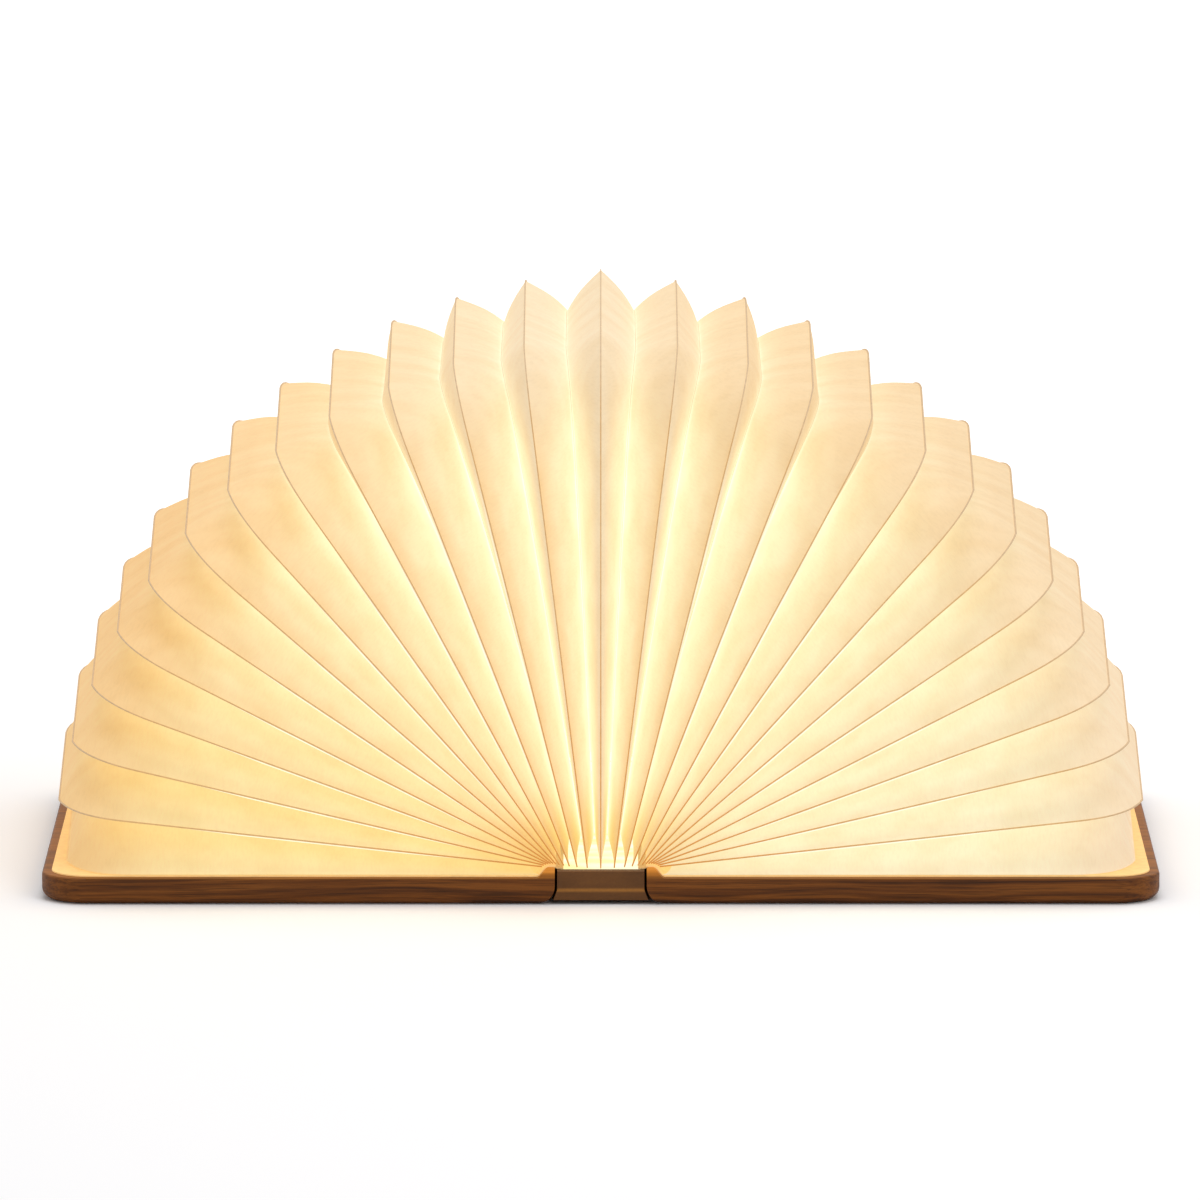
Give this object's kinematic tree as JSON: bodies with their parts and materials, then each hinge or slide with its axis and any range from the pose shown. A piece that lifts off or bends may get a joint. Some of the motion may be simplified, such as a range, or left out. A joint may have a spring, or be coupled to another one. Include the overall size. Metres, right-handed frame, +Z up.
{
  "type": "folding book lamp",
  "caption": "Wooden book-shaped lamp that opens flat: two covers turn on a slim spine light and a pleated paper shade fans out between them",
  "frame": {"origin": "middle of the footprint, on the surface that the open covers lie on", "axes": "+X across the open covers to the right cover, +Y along the spine to its rear end with the charging socket, +Z up"},
  "size_m": [0.3652, 0.215, 0.1869],
  "materials": {
    "walnut": "oiled walnut, straight grain along the cover's width, satin",
    "page_paper": "translucent fibrous white paper, lit warm from the spine",
    "spine_bronze": "dark bronze anodised, fine brushed",
    "diffuser": "frosted, lit",
    "hinge_cloth": "woven book cloth",
    "light_chip": "phosphor resin, lit",
    "board_white": "white solder mask",
    "circuit_board": "green solder mask",
    "chip": "moulded black epoxy",
    "foam": "adhesive foam",
    "battery_foil": "laminated pouch foil",
    "steel": "plain steel",
    "magnet": "nickel plated",
    "red_wire": "wire insulation",
    "white_wire": "wire insulation"
  },
  "bodies": {
    "spine": {"spine_channel": "spine_bronze", "front_end_cap": "spine_bronze", "rear_end_cap": "spine_bronze", "light_board": "board_white", "led_chips": "light_chip", "diffuser": "diffuser", "fold_sensors": "chip", "battery_pad": "foam", "battery": "battery_foil", "charge_board": "circuit_board", "board_screws": "steel", "control_chips": "chip", "usb_socket": "steel", "battery_leads": "red_wire", "light_leads": "white_wire", "middle_page": "page_paper", "left_hinge_cloth": "hinge_cloth", "right_hinge_cloth": "hinge_cloth"},
    "left_cover": {"left_cover": "walnut", "left_lining": "page_paper", "left_closing_magnets": "magnet", "left_trigger_magnet": "magnet", "left_end_pleat": "page_paper"},
    "right_cover": {"right_cover": "walnut", "right_lining": "page_paper", "right_closing_magnets": "magnet", "right_trigger_magnet": "magnet", "right_end_pleat": "page_paper"},
    "left_page_01": {"left_page_01": "page_paper"},
    "left_page_02": {"left_page_02": "page_paper"},
    "left_page_03": {"left_page_03": "page_paper"},
    "left_page_04": {"left_page_04": "page_paper"},
    "left_page_05": {"left_page_05": "page_paper"},
    "left_page_06": {"left_page_06": "page_paper"},
    "left_page_07": {"left_page_07": "page_paper"},
    "left_page_08": {"left_page_08": "page_paper"},
    "left_page_09": {"left_page_09": "page_paper"},
    "left_page_10": {"left_page_10": "page_paper"},
    "left_page_11": {"left_page_11": "page_paper"},
    "left_page_12": {"left_page_12": "page_paper"},
    "right_page_01": {"right_page_01": "page_paper"},
    "right_page_02": {"right_page_02": "page_paper"},
    "right_page_03": {"right_page_03": "page_paper"},
    "right_page_04": {"right_page_04": "page_paper"},
    "right_page_05": {"right_page_05": "page_paper"},
    "right_page_06": {"right_page_06": "page_paper"},
    "right_page_07": {"right_page_07": "page_paper"},
    "right_page_08": {"right_page_08": "page_paper"},
    "right_page_09": {"right_page_09": "page_paper"},
    "right_page_10": {"right_page_10": "page_paper"},
    "right_page_11": {"right_page_11": "page_paper"},
    "right_page_12": {"right_page_12": "page_paper"}
  },
  "joints": [
    {"name": "left_cover_fold", "type": "hinge", "parent": "spine", "child": "left_cover", "pos_m": [-0.0144, 0, 0.012], "axis": [0, 1, 0], "range_deg": [0, 90], "deforming": ["left_end_pleat", "middle_page"]},
    {"name": "right_cover_fold", "type": "hinge", "parent": "spine", "child": "right_cover", "pos_m": [0.0144, 0, 0.012], "axis": [0, -1, 0], "range_deg": [0, 90], "deforming": ["right_end_pleat", "middle_page"]},
    {"name": "left_page_01_turn", "type": "hinge", "parent": "spine", "child": "left_page_01", "pos_m": [-0.00437, 0, 0.0114], "axis": [0, 1, 0], "range_deg": [0, 8.03], "deforming": ["left_page_01"]},
    {"name": "left_page_02_turn", "type": "hinge", "parent": "spine", "child": "left_page_02", "pos_m": [-0.00762, 0, 0.0114], "axis": [0, 1, 0], "range_deg": [0, 15.7], "deforming": ["left_page_02"]},
    {"name": "left_page_03_turn", "type": "hinge", "parent": "spine", "child": "left_page_03", "pos_m": [-0.00995, 0, 0.0114], "axis": [0, 1, 0], "range_deg": [0, 23.06], "deforming": ["left_page_03"]},
    {"name": "left_page_04_turn", "type": "hinge", "parent": "spine", "child": "left_page_04", "pos_m": [-0.01158, 0, 0.0114], "axis": [0, 1, 0], "range_deg": [0, 30.19], "deforming": ["left_page_04"]},
    {"name": "left_page_05_turn", "type": "hinge", "parent": "spine", "child": "left_page_05", "pos_m": [-0.01268, 0, 0.0114], "axis": [0, 1, 0], "range_deg": [0, 37.12], "deforming": ["left_page_05"]},
    {"name": "left_page_06_turn", "type": "hinge", "parent": "spine", "child": "left_page_06", "pos_m": [-0.01338, 0, 0.0114], "axis": [0, 1, 0], "range_deg": [0, 43.92], "deforming": ["left_page_06"]},
    {"name": "left_page_07_turn", "type": "hinge", "parent": "spine", "child": "left_page_07", "pos_m": [-0.01379, 0, 0.0114], "axis": [0, 1, 0], "range_deg": [0, 50.59], "deforming": ["left_page_07"]},
    {"name": "left_page_08_turn", "type": "hinge", "parent": "spine", "child": "left_page_08", "pos_m": [-0.01402, 0, 0.0114], "axis": [0, 1, 0], "range_deg": [0, 57.2], "deforming": ["left_page_08"]},
    {"name": "left_page_09_turn", "type": "hinge", "parent": "spine", "child": "left_page_09", "pos_m": [-0.01414, 0, 0.0114], "axis": [0, 1, 0], "range_deg": [0, 63.76], "deforming": ["left_page_09"]},
    {"name": "left_page_10_turn", "type": "hinge", "parent": "spine", "child": "left_page_10", "pos_m": [-0.01418, 0, 0.0114], "axis": [0, 1, 0], "range_deg": [0, 70.29], "deforming": ["left_page_10"]},
    {"name": "left_page_11_turn", "type": "hinge", "parent": "spine", "child": "left_page_11", "pos_m": [-0.0142, 0, 0.0114], "axis": [0, 1, 0], "range_deg": [0, 76.81], "deforming": ["left_page_11"]},
    {"name": "left_page_12_turn", "type": "hinge", "parent": "spine", "child": "left_page_12", "pos_m": [-0.0142, 0, 0.0114], "axis": [0, 1, 0], "range_deg": [0, 83.32], "deforming": ["left_page_12"]},
    {"name": "right_page_01_turn", "type": "hinge", "parent": "spine", "child": "right_page_01", "pos_m": [0.00437, 0, 0.0114], "axis": [0, -1, 0], "range_deg": [0, 8.03], "deforming": ["right_page_01"]},
    {"name": "right_page_02_turn", "type": "hinge", "parent": "spine", "child": "right_page_02", "pos_m": [0.00762, 0, 0.0114], "axis": [0, -1, 0], "range_deg": [0, 15.7], "deforming": ["right_page_02"]},
    {"name": "right_page_03_turn", "type": "hinge", "parent": "spine", "child": "right_page_03", "pos_m": [0.00995, 0, 0.0114], "axis": [0, -1, 0], "range_deg": [0, 23.06], "deforming": ["right_page_03"]},
    {"name": "right_page_04_turn", "type": "hinge", "parent": "spine", "child": "right_page_04", "pos_m": [0.01158, 0, 0.0114], "axis": [0, -1, 0], "range_deg": [0, 30.19], "deforming": ["right_page_04"]},
    {"name": "right_page_05_turn", "type": "hinge", "parent": "spine", "child": "right_page_05", "pos_m": [0.01268, 0, 0.0114], "axis": [0, -1, 0], "range_deg": [0, 37.12], "deforming": ["right_page_05"]},
    {"name": "right_page_06_turn", "type": "hinge", "parent": "spine", "child": "right_page_06", "pos_m": [0.01338, 0, 0.0114], "axis": [0, -1, 0], "range_deg": [0, 43.92], "deforming": ["right_page_06"]},
    {"name": "right_page_07_turn", "type": "hinge", "parent": "spine", "child": "right_page_07", "pos_m": [0.01379, 0, 0.0114], "axis": [0, -1, 0], "range_deg": [0, 50.59], "deforming": ["right_page_07"]},
    {"name": "right_page_08_turn", "type": "hinge", "parent": "spine", "child": "right_page_08", "pos_m": [0.01402, 0, 0.0114], "axis": [0, -1, 0], "range_deg": [0, 57.2], "deforming": ["right_page_08"]},
    {"name": "right_page_09_turn", "type": "hinge", "parent": "spine", "child": "right_page_09", "pos_m": [0.01414, 0, 0.0114], "axis": [0, -1, 0], "range_deg": [0, 63.76], "deforming": ["right_page_09"]},
    {"name": "right_page_10_turn", "type": "hinge", "parent": "spine", "child": "right_page_10", "pos_m": [0.01418, 0, 0.0114], "axis": [0, -1, 0], "range_deg": [0, 70.29], "deforming": ["right_page_10"]},
    {"name": "right_page_11_turn", "type": "hinge", "parent": "spine", "child": "right_page_11", "pos_m": [0.0142, 0, 0.0114], "axis": [0, -1, 0], "range_deg": [0, 76.81], "deforming": ["right_page_11"]},
    {"name": "right_page_12_turn", "type": "hinge", "parent": "spine", "child": "right_page_12", "pos_m": [0.0142, 0, 0.0114], "axis": [0, -1, 0], "range_deg": [0, 83.32], "deforming": ["right_page_12"]}
  ],
  "couplings": [
    {"joint": "left_page_01_turn", "follows": "left_cover_fold", "ratio": 0.0892},
    {"joint": "left_page_02_turn", "follows": "left_cover_fold", "ratio": 0.1744},
    {"joint": "left_page_03_turn", "follows": "left_cover_fold", "ratio": 0.2562},
    {"joint": "left_page_04_turn", "follows": "left_cover_fold", "ratio": 0.3354},
    {"joint": "left_page_05_turn", "follows": "left_cover_fold", "ratio": 0.4124},
    {"joint": "left_page_06_turn", "follows": "left_cover_fold", "ratio": 0.4879},
    {"joint": "left_page_07_turn", "follows": "left_cover_fold", "ratio": 0.5621},
    {"joint": "left_page_08_turn", "follows": "left_cover_fold", "ratio": 0.6355},
    {"joint": "left_page_09_turn", "follows": "left_cover_fold", "ratio": 0.7084},
    {"joint": "left_page_10_turn", "follows": "left_cover_fold", "ratio": 0.7809},
    {"joint": "left_page_11_turn", "follows": "left_cover_fold", "ratio": 0.8534},
    {"joint": "left_page_12_turn", "follows": "left_cover_fold", "ratio": 0.9257},
    {"joint": "right_page_01_turn", "follows": "right_cover_fold", "ratio": 0.0892},
    {"joint": "right_page_02_turn", "follows": "right_cover_fold", "ratio": 0.1744},
    {"joint": "right_page_03_turn", "follows": "right_cover_fold", "ratio": 0.2562},
    {"joint": "right_page_04_turn", "follows": "right_cover_fold", "ratio": 0.3354},
    {"joint": "right_page_05_turn", "follows": "right_cover_fold", "ratio": 0.4124},
    {"joint": "right_page_06_turn", "follows": "right_cover_fold", "ratio": 0.4879},
    {"joint": "right_page_07_turn", "follows": "right_cover_fold", "ratio": 0.5621},
    {"joint": "right_page_08_turn", "follows": "right_cover_fold", "ratio": 0.6355},
    {"joint": "right_page_09_turn", "follows": "right_cover_fold", "ratio": 0.7084},
    {"joint": "right_page_10_turn", "follows": "right_cover_fold", "ratio": 0.7809},
    {"joint": "right_page_11_turn", "follows": "right_cover_fold", "ratio": 0.8534},
    {"joint": "right_page_12_turn", "follows": "right_cover_fold", "ratio": 0.9257}
  ]
}
